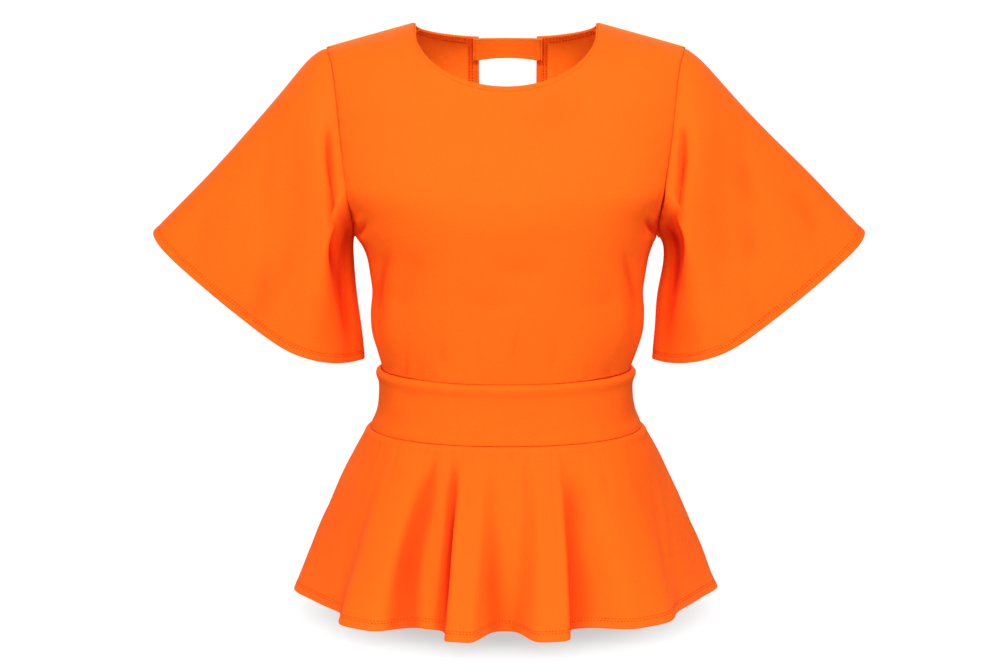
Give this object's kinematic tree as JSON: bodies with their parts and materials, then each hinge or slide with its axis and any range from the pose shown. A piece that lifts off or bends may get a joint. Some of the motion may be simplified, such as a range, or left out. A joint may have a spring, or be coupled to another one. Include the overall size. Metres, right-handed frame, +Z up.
{
  "type": "peplum blouse",
  "caption": "Short crepe blouse with a round neck, flared half sleeves, a fitted waistband, a folded peplum and a strap across an open back slot.",
  "frame": {"origin": "midway between the two shoulder points, where the shoulder seams meet the sleeves and the wearer's shoulders carry the blouse", "axes": "+X to the wearer's left, +Y to the wearer's back, so the front faces -Y, +Z up"},
  "size_m": [0.749, 0.3645, 0.603],
  "materials": {
    "crepe": "matte stretch crepe, orange"
  },
  "bodies": {
    "root": {"front_bodice": "crepe", "back_bodice": "crepe", "back_slot_facing": "crepe", "back_neck_facing_right": "crepe", "back_neck_facing_left": "crepe", "neck_strap": "crepe", "right_sleeve": "crepe", "left_sleeve": "crepe", "waistband_front": "crepe", "waistband_back": "crepe", "peplum_front": "crepe", "peplum_back": "crepe"}
  },
  "joints": []
}
